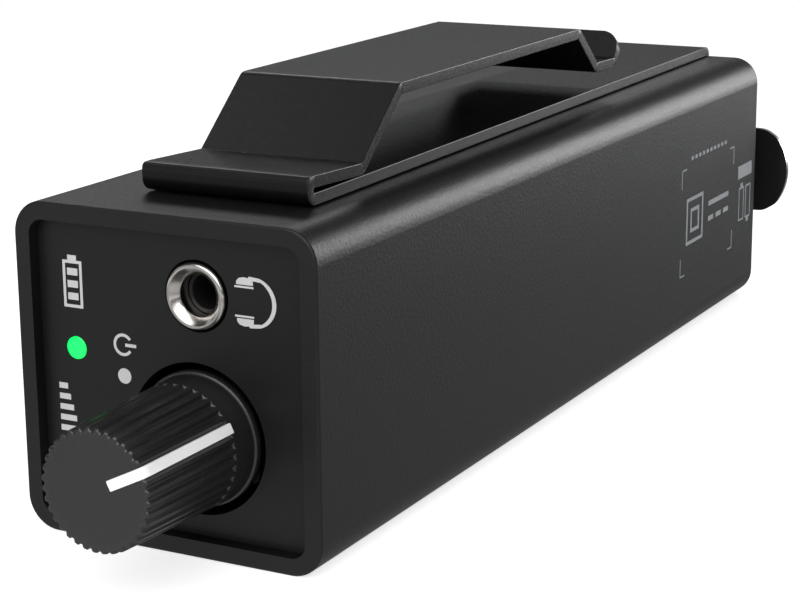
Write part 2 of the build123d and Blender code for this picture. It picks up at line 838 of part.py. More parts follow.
with BuildPart() as input_shell:
    with BuildSketch(across(shell_front)):
        with Locations((0, mid_height)):
            Circle(combo_radius)
    extrude(amount=-(panel_inner - seat_gap - shell_front))
    with BuildSketch(across(panel_inner - seat_gap)):
        with Locations((0, mid_height)):
            Circle(collar_radius)
    extrude(amount=-(collar_end - panel_inner + seat_gap))
    fillet(input_shell.edges().filter_by(GeomType.CIRCLE).group_by(Axis.Y)[-1], 0.4)
    with BuildSketch(across(panel_inner - lug_thick)):
        for sign in (-1, 1):
            with Locations((sign * lug_x, mid_height - sign * lug_dz)):
                Circle(lug_radius)
            with Locations(Location((sign * lug_x * 0.8, mid_height - sign * lug_dz * 0.8), -sign * 45)):
                Rectangle(3 * lug_radius, 2 * lug_radius)
    extrude(amount=seat_gap - lug_thick)
    with Locations((10.0, lever_axis_y, mid_height)):
        Box(3.4, 8.0, 12.0, align=(Align.MIN, Align.CENTER, Align.CENTER))
    with BuildSketch(across(mouth_floor)):
        with Locations((0, mid_height)):
            Circle(mouth_radius)
    extrude(amount=-(collar_end - mouth_floor), mode=Mode.SUBTRACT)
    with BuildSketch(across(shell_front)):
        with Locations((0, mid_height)):
            Circle(plug_radius)
        with Locations((-lug_x, mid_height + lug_dz), (lug_x, mid_height - lug_dz)):
            Circle(lug_screw_radius + seat_gap)
    extrude(amount=-(rear_end - shell_front), mode=Mode.SUBTRACT)
    with Locations((channel_inner, channel_front, mid_height)):
        Box(
            channel_outer - channel_inner,
            collar_end - channel_front,
            2 * channel_half,
            align=(Align.MIN, Align.MIN, Align.CENTER),
            mode=Mode.SUBTRACT,
        )
    with Locations((11.5, 58.0, mid_height)):
        Box(6.4, 7.0, 4.4, mode=Mode.SUBTRACT)
    with BuildSketch(Plane.XY.offset(mid_height - lever_pin_half - 0.1)):
        with Locations((lever_x, lever_axis_y)):
            Circle(lever_pin_radius + 0.01)
    extrude(amount=2 * lever_pin_half + 0.2, mode=Mode.SUBTRACT)
input_shell.part.label = "input_shell"

with BuildPart() as input_insert:
    with BuildSketch(across(mouth_floor + seat_gap)):
        with Locations((0, mid_height)):
            Circle(mouth_radius - 0.05)
    extrude(amount=-insert_flange)
    with BuildSketch(across(mouth_floor + insert_flange)):
        with Locations((0, mid_height)):
            Circle(insert_radius)
    extrude(amount=-insert_length)
    fillet(input_insert.edges().filter_by(GeomType.CIRCLE).group_by(Axis.Y)[-1], 0.5)
    with BuildSketch(across(mouth_floor)):
        with Locations((0, mid_height)):
            Circle(plug_radius)
    extrude(amount=-insert_length - insert_flange - 1, mode=Mode.SUBTRACT)
    with BuildSketch(across(mouth_floor + 4.0)):
        with Locations((0, mid_height)):
            with PolarLocations(pin_circle, 3, start_angle=pin_start):
                Circle(pin_hole_radius)
    extrude(amount=-insert_length, mode=Mode.SUBTRACT)
input_insert.part.label = "input_insert"

with BuildPart() as pin_sockets:
    with BuildSketch(across(mouth_floor + 4.02)):
        with Locations((0, mid_height)):
            with PolarLocations(pin_circle, 3, start_angle=pin_start):
                Circle(pin_hole_radius - seat_gap)
                Circle(pin_hole_radius - 0.4, mode=Mode.SUBTRACT)
    extrude(amount=-16.0)
pin_sockets.part.label = "pin_sockets"

with BuildPart() as input_terminals:
    with Locations(*[(x, shell_front - seat_gap, board_seat) for x in terminal_x]):
        Box(*terminal_size, align=(Align.CENTER, Align.MAX, Align.MIN))
input_terminals.part.label = "input_terminals"

with BuildPart() as input_screws:
    for sign in (-1, 1):
        head_seat = (sign * lug_x, rear_face + seat_gap, mid_height - sign * lug_dz)
        with Locations(Plane(origin=head_seat, x_dir=(1, 0, 0), z_dir=(0, 1, 0))):
            Cylinder(lug_head_radius, lug_head_height, align=(Align.CENTER, Align.CENTER, Align.MIN))
            Cylinder(lug_screw_radius, 5.5, align=(Align.CENTER, Align.CENTER, Align.MAX))
            with Locations((0, 0, lug_head_height)):
                Box(3.0, 0.5, 1.2, mode=Mode.SUBTRACT)
                Box(0.5, 3.0, 1.2, mode=Mode.SUBTRACT)
input_screws.part.label = "input_screws"

# ---------------------------------------------------------------- latch lever

with BuildPart() as latch_lever:
    leg_inner = lever_x - lever_sheet / 2
    leg_outer = lever_x + lever_sheet / 2
    with BuildSketch(Plane.XY.offset(mid_height - lever_half_width)):
        with BuildLine():
            Polyline(
                (leg_inner, lever_axis_y),
                (leg_inner, paddle_y + lever_sheet),
                (leg_outer + 2.0, paddle_y + lever_sheet),
                (leg_outer + 2.0, paddle_y),
                (leg_outer, paddle_y),
                (leg_outer, lever_axis_y),
                close=True,
            )
        make_face()
        with Locations((lever_x, lever_axis_y)):
            Circle(lever_pin_radius + 0.65)
            Circle(lever_pin_radius + running_gap, mode=Mode.SUBTRACT)
    extrude(amount=2 * lever_half_width)
    upright = latch_lever.edges().filter_by(Axis.Z)
    outer_bend = upright.sort_by_distance((leg_inner, paddle_y + lever_sheet, mid_height))[0]
    fillet(outer_bend, 0.4 + lever_sheet)
    upright = latch_lever.edges().filter_by(Axis.Z)
    inner_bend = upright.sort_by_distance((leg_outer, paddle_y, mid_height))[0]
    fillet(inner_bend, 0.4)
    with Locations((lever_x, lever_axis_y, mid_height)):
        Box(4.0, 4.0, 2.8, mode=Mode.SUBTRACT)
    with BuildSketch(across(paddle_y, mid_height)) as paddle:
        with BuildLine():
            Polyline(
                (paddle_end_x - 1.8, -paddle_shoulder),
                (paddle_end_x - 3.6, -paddle_half),
                (leg_outer + 3.0, -paddle_half),
                (leg_outer + 1.2, -lever_half_width),
                (leg_outer + 1.2, lever_half_width),
                (leg_outer + 3.0, paddle_half),
                (paddle_end_x - 3.6, paddle_half),
                (paddle_end_x - 1.8, paddle_shoulder),
            )
            ThreePointArc(
                (paddle_end_x - 1.8, paddle_shoulder),
                (paddle_end_x, 0),
                (paddle_end_x - 1.8, -paddle_shoulder),
            )
        make_face()
        outer_corners = paddle.vertices().group_by(Axis.X)
        fillet(outer_corners[-1] + outer_corners[-2], paddle_round)
        fillet(paddle.vertices().group_by(Axis.X)[1], paddle_corner)
    extrude(amount=-lever_sheet)
    with BuildSketch(Plane.XY.offset(mid_height - hook_width / 2)):
        with BuildLine():
            Polyline(
                (leg_inner + 0.1, hook_y[0]),
                (hook_x, hook_y[1]),
                (hook_x, hook_y[2]),
                (leg_inner + 0.1, hook_y[3]),
                close=True,
            )
        make_face()
    extrude(amount=hook_width)
latch_lever.part.label = "latch_lever"

with BuildPart() as latch_pin:
    with BuildSketch(Plane.XY.offset(mid_height - lever_pin_half)):
        with Locations((lever_x, lever_axis_y)):
            Circle(lever_pin_radius)
    extrude(amount=2 * lever_pin_half)
latch_pin.part.label = "latch_pin"

with BuildPart() as latch_spring:
    with BuildLine(Plane(origin=(lever_x, lever_axis_y, mid_height - coil_height / 2), z_dir=(0, 0, 1))):
        latch_coil = Helix(pitch=coil_pitch, height=coil_height, radius=coil_radius)
    with BuildSketch(Plane(origin=latch_coil @ 0, z_dir=latch_coil % 0)):
        Circle(coil_wire)
    sweep(path=latch_coil, is_frenet=True)
latch_spring.part.label = "latch_spring"

# ---------------------------------------------------------------- slide switch and its wires

with BuildPart() as switch_body:
    with Locations((switch_x, panel_inner - seat_gap, switch_z)):
        Box(switch_width, switch_depth, switch_height, align=(Align.CENTER, Align.MAX, Align.CENTER))
        Box(
            slot_size + switch_travel,
            2.2,
            slot_size,
            align=(Align.CENTER, Align.MAX, Align.CENTER),
            mode=Mode.SUBTRACT,
        )
switch_body.part.label = "switch_body"

with BuildPart() as switch_nub:
    with Locations((switch_x - switch_travel / 2, rear_face + nub_proud, switch_z)):
        Box(nub_size, nub_length, nub_size, align=(Align.CENTER, Align.MAX, Align.CENTER))
    fillet(switch_nub.edges().group_by(Axis.Y)[-1], 0.2)
switch_nub.part.label = "switch_nub"

with BuildPart() as switch_wires:
    for wire_x in (switch_x - wire_pitch, switch_x, switch_x + wire_pitch):
        with BuildLine():
            wire_path = FilletPolyline(
                (wire_x, panel_inner - switch_depth - 0.05, switch_z),
                (wire_x, wire_rise_y, switch_z),
                (wire_x, wire_rise_y, board_bottom - seat_gap),
                radius=wire_bend,
            )
        with BuildSketch(Plane(origin=wire_path @ 0, z_dir=wire_path % 0)):
            Circle(wire_radius)
        sweep(path=wire_path)
switch_wires.part.label = "switch_wires"

# ---------------------------------------------------------------- export, one file per piece

pieces = [
    case_sleeve, front_panel, rear_panel, panel_screws, tray_screws,
    clip_base, clip_arm, clip_screws, clip_spacers, clip_nuts,
    knob, knob_pointer, pot_shaft, pot_wiper, pot_housing, pot_bushing, pot_pins,
    jack_ring, jack_housing, jack_contacts, lamp_lens, lamp_leads,
    main_board, board_screws, amplifier_chips, capacitors, inductor, resistors,
    battery_tray, battery_cell_left, battery_cell_right,
    battery_springs, battery_contacts, battery_link, battery_door, door_pin,
    input_shell, input_insert, pin_sockets, input_terminals, input_screws,
    latch_lever, latch_pin, latch_spring, switch_body, switch_nub, switch_wires,
]

os.makedirs("parts", exist_ok=True)
for piece in pieces:
    export_step(piece.part, f"parts/{piece.part.label}.step")
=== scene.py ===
"""Looks of a belt-pack monitor amplifier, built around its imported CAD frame.

Lengths are millimetres in the frame's own axes until a mesh is made: +Z is up, the controls face
-Y, and +X is to the right of someone who looks at the controls. Lights, the world and the camera
are in metres.
"""

import json
from math import atan2, cos, pi, radians, sin, sqrt, tan

import bpy
from mathutils import Euler, Matrix, Vector


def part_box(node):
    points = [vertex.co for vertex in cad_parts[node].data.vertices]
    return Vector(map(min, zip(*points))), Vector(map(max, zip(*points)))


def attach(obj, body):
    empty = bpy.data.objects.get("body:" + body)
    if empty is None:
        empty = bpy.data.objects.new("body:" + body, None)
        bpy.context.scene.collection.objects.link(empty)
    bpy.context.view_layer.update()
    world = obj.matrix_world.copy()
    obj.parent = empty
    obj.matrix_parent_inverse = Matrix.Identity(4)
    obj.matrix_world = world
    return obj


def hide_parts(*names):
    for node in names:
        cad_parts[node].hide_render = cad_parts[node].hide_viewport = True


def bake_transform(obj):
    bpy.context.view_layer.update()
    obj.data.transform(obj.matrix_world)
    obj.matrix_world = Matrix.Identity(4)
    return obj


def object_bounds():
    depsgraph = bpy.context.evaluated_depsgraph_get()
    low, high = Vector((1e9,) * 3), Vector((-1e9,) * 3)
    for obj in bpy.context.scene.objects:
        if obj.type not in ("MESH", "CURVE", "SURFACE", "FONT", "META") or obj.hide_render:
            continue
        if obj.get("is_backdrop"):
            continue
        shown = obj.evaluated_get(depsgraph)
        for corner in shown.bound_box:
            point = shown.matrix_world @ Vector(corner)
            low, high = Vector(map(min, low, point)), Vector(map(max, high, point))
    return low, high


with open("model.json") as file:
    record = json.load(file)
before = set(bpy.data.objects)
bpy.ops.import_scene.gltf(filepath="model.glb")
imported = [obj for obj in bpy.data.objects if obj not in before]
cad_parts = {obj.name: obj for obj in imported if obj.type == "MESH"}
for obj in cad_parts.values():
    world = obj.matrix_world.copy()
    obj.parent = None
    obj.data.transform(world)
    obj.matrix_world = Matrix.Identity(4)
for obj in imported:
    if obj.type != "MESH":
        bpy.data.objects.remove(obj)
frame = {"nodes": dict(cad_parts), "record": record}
cad_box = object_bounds()

MM = 0.001


def box(node):
    """The lowest and highest corner of a CAD node at rest, in millimetres."""
    low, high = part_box(node)
    return Vector(low) / MM, Vector(high) / MM


case_low, case_high = box("case_sleeve")
panel_low, _ = box("front_panel")
knob_low, knob_high = box("knob")
ring_low, ring_high = box("jack_ring")
lamp_low, lamp_high = box("lamp_lens")
arm_low, arm_high = box("clip_arm")
base_low, base_high = box("clip_base")
_, lever_high = box("latch_lever")

# Knob, measured back from its face.
flute_count = 36
flute_steps = 12
flute_depth = 0.3
flute_share = 0.54
flute_end = 14.3
face_radius = 6.3
face_rim = 0.35
skirt_radius = 6.75
lip_radius = knob_high.x - (knob_low.x + knob_high.x) / 2
lip_height = 1.05
foot_radius = 5.7
hollow_start = 3.5
hollow_radius = 5.0
pointer_angle = 26.0
pointer_width = 1.1
pointer_start = 1.9
pointer_rise = 0.25
pointer_sunk = 0.5
pointer_bend = 0.7
pointer_rounding = 0.12

# Jack bush, and (depth, radius) down its mouth.
bush_back_radius = 2.32
bush_rim_round = 0.38
bush_mouth = [
    (0, 3.02), (0.03, 2.96), (0.3, 2.62), (0.6, 2.3), (0.78, 2.16), (0.86, 2.13), (0.95, 2.16),
    (1.1, bush_back_radius),
]

# Lamp.
lamp_radius = 1.2
lamp_dome = 0.2

# Belt clip. Each corner of its arm is (distance behind the fold, height), the first one's height
# over the fold's middle and the others' over the arm's top.
sheet = 1.3
fold_inner = 0.25
fold_outer = fold_inner + sheet
fold_radius = fold_inner + sheet / 2
fold_corner = 0.65
bend_radius = 0.8
cut_rounding = 0.1
tip_corner = 2.6
rear_half_width = 7.9
base_stops = (40, 20, 0, -20, -40)
foot_end = (9.82, 0.48)
top_start = (18.41, -0.2)
top_end = (66.29, 0)
valley = (72.04, -4.98)
toe = (78.19, -5.08)
tip = (80.59, -1.6)

# Points on each of the four rounded corners of a strip's section, and which of the strip's faces
# round a section lie on a cut edge.
corner_points = 4
cut_faces = (2, 3, 4, 10, 11, 12)

# Prints. The shapes of one print rise in turn by a small step, so that none share a surface.
ink_thickness = 0.02
ink_step = 0.001
ink_layers = 8

# Lever: how far in from its rear end its cut edges are bare, how far such an edge may face
# backwards or forwards, and the colour of its metal.
bare_reach = 0.9
sideways_limit = 0.6
bare_metal = (0.7, 0.69, 0.67, 1)

# How bright the room is at each elevation in degrees, and how much more towards the front.
WORLD_LEVELS = [
    (-60, 0.45), (-20, 0.5), (-15, 0.26), (-12, 0.24), (-9, 0.32), (-3, 1.2), (1, 0.1), (3, 0.006),
    (9.5, 0.006), (12.5, 0.56), (20, 0.56), (25, 0.03), (60, 0.05), (85, 0.08),
]
WORLD_TILT = 0.4

# Name, bearing and height in degrees, distance, size and watts of each softbox.
SOFTBOXES = [
    ("edge_strip", 26, 10.5, 1.0, (0.34, 0.46), 3.7),
    ("top_glow", -100, 54, 1.2, (0.4, 0.3), 0.35),
    ("bend_line", -36, 33, 1.2, (0.8, 0.2), 1.6),
    ("front_fill", 165, 42, 1.0, (1.4, 0.8), 9.0),
]

# Soft light from overhead: strength, angle across it and lean about X and Y in degrees.
overhead_strength = 0.35
overhead_angle = 80
overhead_lean = (-8, 6)

# Floor.
floor_radius = 3000
floor_sides = 64
floor_gap = 0.05
floor_glow = 0.68

# Grain of the slow drift in every finish's colour.
slow_grain = 9


# ---------------------------------------------------------------- finishes


def finish(name, color, rough, metal=0.0, specular=0.5, grain=0.4, depth=0.01, drift=0.15,
           spread=0.08, stretch=(1, 1, 1), distortion=0.0):
    """A procedural finish. A slow noise drifts its colour by a share. A finer one, with features of
    about grain millimetres, spreads its roughness and lifts its surface by depth millimetres."""
    material = bpy.data.materials.new(name)
    material.use_nodes = True
    nodes = material.node_tree.nodes
    link = material.node_tree.links.new
    shader = nodes["Principled BSDF"]
    shader.inputs["Metallic"].default_value = metal
    shader.inputs["Specular IOR Level"].default_value = specular

    place = nodes.new("ShaderNodeTexCoord")
    scaled = nodes.new("ShaderNodeMapping")
    scaled.inputs["Scale"].default_value = stretch
    link(place.outputs["Object"], scaled.inputs["Vector"])

    slow = nodes.new("ShaderNodeTexNoise")
    slow.inputs["Scale"].default_value = 1 / (slow_grain * MM)
    slow.inputs["Detail"].default_value = 4
    link(scaled.outputs["Vector"], slow.inputs["Vector"])
    tint = nodes.new("ShaderNodeMix")
    tint.data_type = "RGBA"
    tint.inputs["A"].default_value = [channel * (1 - drift) for channel in color] + [1]
    tint.inputs["B"].default_value = [min(1, channel * (1 + drift)) for channel in color] + [1]
    link(slow.outputs["Fac"], tint.inputs["Factor"])
    link(tint.outputs["Result"], shader.inputs["Base Color"])

    fine = nodes.new("ShaderNodeTexNoise")
    fine.inputs["Scale"].default_value = 1 / (grain * MM)
    fine.inputs["Detail"].default_value = 3
    fine.inputs["Roughness"].default_value = 0.55
    fine.inputs["Distortion"].default_value = distortion
    link(scaled.outputs["Vector"], fine.inputs["Vector"])
    gloss = nodes.new("ShaderNodeMapRange")
    gloss.inputs["From Min"].default_value = 0.3
    gloss.inputs["From Max"].default_value = 0.7
    gloss.inputs["To Min"].default_value = max(0.02, rough - spread)
    gloss.inputs["To Max"].default_value = min(1, rough + spread)
    link(fine.outputs["Fac"], gloss.inputs["Value"])
    link(gloss.outputs["Result"], shader.inputs["Roughness"])

    relief = nodes.new("ShaderNodeBump")
    relief.inputs["Strength"].default_value = 1.0
    relief.inputs["Distance"].default_value = depth * MM
    link(fine.outputs["Fac"], relief.inputs["Height"])
    link(relief.outputs["Normal"], shader.inputs["Normal"])
    return material


def lit(name, color, glow, strength):
    """A lens lit evenly from within."""
    material = finish(name, color, 0.3, grain=0.8, depth=0.002)
    shader = material.node_tree.nodes["Principled BSDF"]
    shader.inputs["Emission Color"].default_value = (*glow, 1)
    shader.inputs["Emission Strength"].default_value = strength
    return material


FINISHES = {
    "case_paint": finish(
        "case_paint", (0.006, 0.006, 0.0062), 0.4, specular=0.38, grain=0.34, depth=0.035,
        spread=0.05, distortion=0.3,
    ),
    "panel_paint": finish(
        "panel_paint", (0.007, 0.007, 0.0072), 0.4, specular=0.32, grain=0.25, depth=0.002,
    ),
    "clip_paint": finish(
        "clip_paint", (0.004, 0.004, 0.0042), 0.3, specular=0.33, grain=0.8, depth=0.002,
        spread=0.03,
    ),
    "knob_plastic": finish(
        "knob_plastic", (0.012, 0.012, 0.012), 0.34, specular=0.75, grain=0.2, depth=0.003,
    ),
    "pointer_white": finish(
        "pointer_white", (0.92, 0.92, 0.92), 0.35, drift=0.03, grain=0.5, depth=0.002,
    ),
    "nickel": finish(
        "nickel", (0.6, 0.575, 0.545), 0.22, metal=1, grain=0.5, depth=0.0003, spread=0.03,
    ),
    "lamp_green": lit("lamp_green", (0.0, 0.5, 0.1), (0.0, 1.0, 0.1), 1.0),
    "steel": finish(
        "steel", (0.6, 0.6, 0.61), 0.28, metal=1, grain=0.3, depth=0.002, stretch=(1, 6, 1),
    ),
    "black_steel": finish(
        "black_steel", (0.045, 0.045, 0.047), 0.32, metal=0.6, grain=0.3, depth=0.004,
    ),
    "lever_steel": finish(
        "lever_steel", (0.01, 0.01, 0.01), 0.16, metal=0.1, grain=0.4, depth=0.002,
    ),
    "black_plastic": finish("black_plastic", (0.014, 0.014, 0.014), 0.45, grain=0.3, depth=0.006),
    "board": finish("board", (0.01, 0.11, 0.045), 0.3, grain=0.7, depth=0.006),
    "chip": finish("chip", (0.015, 0.015, 0.016), 0.55, grain=0.15, depth=0.006),
    "capacitor_sleeve": finish(
        "capacitor_sleeve", (0.012, 0.014, 0.05), 0.25, grain=0.5, depth=0.003,
    ),
    "ceramic_parts": finish("ceramic_parts", (0.3, 0.22, 0.14), 0.5, grain=0.2, depth=0.004),
    "contact_brass": finish(
        "contact_brass", (0.72, 0.52, 0.22), 0.25, metal=1, grain=0.3, depth=0.002,
    ),
    "cell_jacket": finish(
        "cell_jacket", (0.07, 0.07, 0.085), 0.22, metal=0.4, grain=0.6, depth=0.002,
    ),
    "wire_insulation": finish("wire_insulation", (0.42, 0.03, 0.025), 0.4, grain=0.3, depth=0.004),
}
# A lighter copy of the clip's paint for the arm's cut edges: a painted highlight.
CUT_EDGE_HIGHLIGHT = finish(
    "clip_cut_edge_painted_highlight", (0.015, 0.015, 0.015), 0.27, specular=0.34, grain=0.8, depth=0.001, spread=0.02
)
PRINT_WHITE = finish("print_white", (0.52, 0.52, 0.52), 0.5, grain=0.2, depth=0.002, drift=0.06)
PRINT_GREY = finish("print_grey", (0.22, 0.23, 0.245), 0.5, grain=0.2, depth=0.002, drift=0.08)


def paint_nodes():
    """Gives every CAD node the finish of its slot."""
    for entry in frame["record"]["subparts"]:
        node = frame["nodes"][entry["node"]]
        node.data.materials.clear()
        node.data.materials.append(FINISHES[entry["material_slot"]])


def bare_edges(material, start_y):
    """Bares the metal where a surface faces sideways or up, from start_y millimetres on."""
    nodes = material.node_tree.nodes
    link = material.node_tree.links.new
    shader = nodes["Principled BSDF"]
    place = nodes.new("ShaderNodeTexCoord")
    facing = nodes.new("ShaderNodeSeparateXYZ")
    link(place.outputs["Normal"], facing.inputs["Vector"])
    forward = nodes.new("ShaderNodeMath")
    forward.operation = "ABSOLUTE"
    link(facing.outputs["Y"], forward.inputs[0])
    sideways = nodes.new("ShaderNodeMath")
    sideways.operation = "LESS_THAN"
    sideways.inputs[1].default_value = sideways_limit
    link(forward.outputs["Value"], sideways.inputs[0])
    spot = nodes.new("ShaderNodeSeparateXYZ")
    link(place.outputs["Object"], spot.inputs["Vector"])
    behind = nodes.new("ShaderNodeMath")
    behind.operation = "GREATER_THAN"
    behind.inputs[1].default_value = start_y * MM
    link(spot.outputs["Y"], behind.inputs[0])
    bare = nodes.new("ShaderNodeMath")
    bare.operation = "MULTIPLY"
    link(sideways.outputs["Value"], bare.inputs[0])
    link(behind.outputs["Value"], bare.inputs[1])
    tint = nodes.new("ShaderNodeMix")
    tint.data_type = "RGBA"
    tint.inputs["B"].default_value = bare_metal
    painted = shader.inputs["Base Color"].links[0].from_socket
    link(bare.outputs["Value"], tint.inputs["Factor"])
    link(painted, tint.inputs["A"])
    link(tint.outputs["Result"], shader.inputs["Base Color"])
    link(bare.outputs["Value"], shader.inputs["Metallic"])


# ---------------------------------------------------------------- mesh building


def make(name, corners, faces, materials, kinds=None, smooth=40):
    """A mesh object from corners in millimetres. kinds picks each face's material."""
    mesh = bpy.data.meshes.new(name)
    mesh.from_pydata([Vector(corner) * MM for corner in corners], [], faces)
    for material in materials:
        mesh.materials.append(material)
    if kinds:
        mesh.polygons.foreach_set("material_index", kinds)
    mesh.shade_smooth()
    mesh.set_sharp_from_angle(angle=radians(smooth))
    thing = bpy.data.objects.new(name, mesh)
    bpy.context.scene.collection.objects.link(thing)
    even = thing.modifiers.new("even_shading", "WEIGHTED_NORMAL")
    even.keep_sharp = True
    return thing


def loft(rings, closed=False):
    """Corners and faces of rings of equally many corners. Open lofts have a face at both ends."""
    count = len(rings[0])
    corners = [corner for ring in rings for corner in ring]
    faces = []
    spans = len(rings) if closed else len(rings) - 1
    for i in range(spans):
        here = i * count
        there = (i + 1) % len(rings) * count
        for j in range(count):
            k = (j + 1) % count
            faces.append((here + j, here + k, there + k, there + j))
    if not closed:
        faces.append(tuple(reversed(range(count))))
        faces.append(tuple(range(len(corners) - count, len(corners))))
    return corners, faces


def arc(centre, radius, start, end, steps=8):
    """Points on a circle between two angles in degrees."""
    turn = [radians(start + (end - start) * i / steps) for i in range(steps + 1)]
    return [Vector((centre[0] + radius * cos(t), centre[1] + radius * sin(t))) for t in turn]


def round_corners(corners, radius, steps=6):
    """The line through these corners, with each inner one turned into an arc of that radius."""
    line = [Vector(corners[0])]
    for before, corner, after in zip(corners, corners[1:], corners[2:]):
        before, corner, after = Vector(before), Vector(corner), Vector(after)
        enter = (corner - before).normalized()
        leave = (after - corner).normalized()
        turn = atan2(enter.x * leave.y - enter.y * leave.x, enter.dot(leave))
        side = 1 if turn > 0 else -1
        start = corner - enter * radius * tan(abs(turn) / 2)
        centre = start + Vector((-enter.y, enter.x)) * side * radius
        for i in range(steps + 1):
            line.append(centre + Matrix.Rotation(turn * i / steps, 2) @ (start - centre))
    line.append(Vector(corners[-1]))
    return line


def strip(line, half_widths, thickness, rounding, place, extra=None):
    """A bent strip with rounded cut edges: corners, faces and 1 for each face on a cut edge. The
    line is its middle in a plane, place turns (u, v, across) into a point, and extra thickens its
    outer side."""
    last = len(line) - 1
    extra = extra or [0] * len(line)
    stations = []
    for i, point in enumerate(line):
        along = (line[min(i + 1, last)] - line[max(i - 1, 0)]).normalized()
        if i in (0, last):
            inwards = along if i == 0 else -along
            ends = [
                (point + inwards * rounding * (1 - sin(radians(a))), along, half_widths[i],
                 rounding * cos(radians(a)), extra[i])
                for a in (70, 35, 0)
            ]
            stations += ends if i == 0 else reversed(ends)
        else:
            stations.append((point, along, half_widths[i], rounding, extra[i]))
    rings = []
    core = thickness / 2 - rounding
    for point, along, half_width, radius, more in stations:
        up = Vector((-along.y, along.x))
        ring = []
        places = [(1, -core), (1, core + more), (-1, core + more), (-1, -core)]
        for quarter, (side, lift) in enumerate(places):
            for i in range(corner_points):
                angle = radians(90 * (quarter - 1 + i / (corner_points - 1)))
                across = side * (half_width - rounding) + radius * cos(angle)
                spot = point + up * (lift + radius * sin(angle))
                ring.append(place(spot.x, spot.y, across))
        rings.append(ring)
    corners, faces = loft(rings)
    section = [1 if j in cut_faces else 0 for j in range(len(rings[0]))]
    return corners, faces, section * (len(rings) - 1) + [1, 1]


def lathe(profile, centre, count=96):
    """A closed ring turned about an axis along Y through centre (x, z). The profile is a list of
    (y, radius)."""
    rings = []
    for i in range(count):
        angle = 2 * pi * i / count
        rings.append([
            (centre[0] + radius * cos(angle), y, centre[1] + radius * sin(angle))
            for y, radius in profile
        ])
    return loft(rings, closed=True)


# ---------------------------------------------------------------- knob and pointer


def knob_stations():
    """(y, radius, flute depth) from the face's rim back along the knob's side."""
    face = knob_low.y
    end = face + flute_end
    base = knob_high.y
    stations = []
    for angle in (0, 30, 60, 90):
        turn = radians(angle)
        y = face + face_rim * (1 - cos(turn))
        stations.append((y, face_radius - face_rim * (1 - sin(turn)), flute_depth))
    slope = (skirt_radius - face_radius) / flute_end
    for along in (3.0, 6.0, 9.0, 12.0, flute_end - flute_depth):
        stations.append((face + along, face_radius + slope * along, flute_depth))
    for angle in (25, 50, 70, 82, 90):
        turn = radians(angle)
        y = end - flute_depth + flute_depth * sin(turn)
        stations.append((y, face_radius + slope * (y - face), flute_depth * cos(turn)))
    collar = base - lip_height
    stations.append((end + 0.15, skirt_radius + 0.01, 0))
    stations.append((collar - 0.12, lip_radius - 0.3, 0))
    stations.append((collar, lip_radius - 0.27, 0))
    stations.append((collar + 0.03, lip_radius - 0.12, 0))
    stations.append((collar + 0.15, lip_radius, 0))
    stations.append((base - 0.1, lip_radius, 0))
    stations.append((base, lip_radius - 0.1, 0))
    stations.append((base, foot_radius, 0))
    stations.append((face + hollow_start, hollow_radius, 0))
    return stations


def build_knob():
    """The fluted knob, its flutes ending round behind and a lip at its foot, and its pointer."""
    centre_x = (knob_low.x + knob_high.x) / 2
    centre_z = (knob_low.z + knob_high.z) / 2
    count = flute_count * flute_steps
    stations = knob_stations()
    first_y, first_radius, _ = stations[0]
    rings = []
    for share in (0.02, 0.3, 0.6, 0.85):
        rings.append([(first_y, first_radius * share, 0.0)] * count)
    rings += [[station] * count for station in stations]
    placed = []
    for ring in rings:
        spots = []
        for j, (y, radius, depth) in enumerate(ring):
            phase = (j / flute_steps) % 1 - 0.5
            reach = abs(phase) / (flute_share / 2)
            cut = depth * sqrt(1 - reach * reach) if reach < 1 else 0
            angle = radians(pointer_angle) + 2 * pi * j / count
            spots.append((
                centre_x + (radius - cut) * cos(angle), y, centre_z + (radius - cut) * sin(angle)
            ))
        placed.append(spots)
    corners, faces = loft(placed)
    knob = make("knob_body", corners, faces, [FINISHES["knob_plastic"]], smooth=50)
    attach(knob, "knob")
    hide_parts("knob")

    lean = radians(pointer_angle)

    def place(out, back, across):
        x = centre_x + out * cos(lean) - across * sin(lean)
        z = centre_z + out * sin(lean) + across * cos(lean)
        return (x, back, z)

    thickness = pointer_rise + pointer_sunk
    middle = pointer_rise - thickness / 2
    face = knob_low.y
    line = round_corners(
        [
            (pointer_start, face - middle),
            (face_radius + middle, face - middle),
            (skirt_radius + middle, face + flute_end + 0.2),
        ],
        pointer_bend,
    )
    widths = [pointer_width / 2] * len(line)
    corners, faces, _ = strip(line, widths, thickness, pointer_rounding, place)
    pointer = make("pointer_bar", corners, faces, [FINISHES["pointer_white"]])
    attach(pointer, "knob")
    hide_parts("knob_pointer")


# ---------------------------------------------------------------- jack and lamp


def build_jack_ring():
    """The jack's turned bush: a rounded outer edge, a flat front and a cone to the plug's hole."""
    front = ring_low.y
    back = ring_high.y
    outer = (ring_high.x - ring_low.x) / 2
    centre = ((ring_low.x + ring_high.x) / 2, (ring_low.z + ring_high.z) / 2)
    profile = [(back, bush_back_radius), (back, outer)]
    for angle in range(0, 91, 15):
        turn = radians(angle)
        y = front + bush_rim_round * (1 - sin(turn))
        profile.append((y, outer - bush_rim_round * (1 - cos(turn))))
    profile += [(front + depth, radius) for depth, radius in bush_mouth]
    corners, faces = lathe(profile, centre)
    ring = make("jack_bush", corners, faces, [FINISHES["nickel"]])
    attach(ring, "case")
    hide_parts("jack_ring")


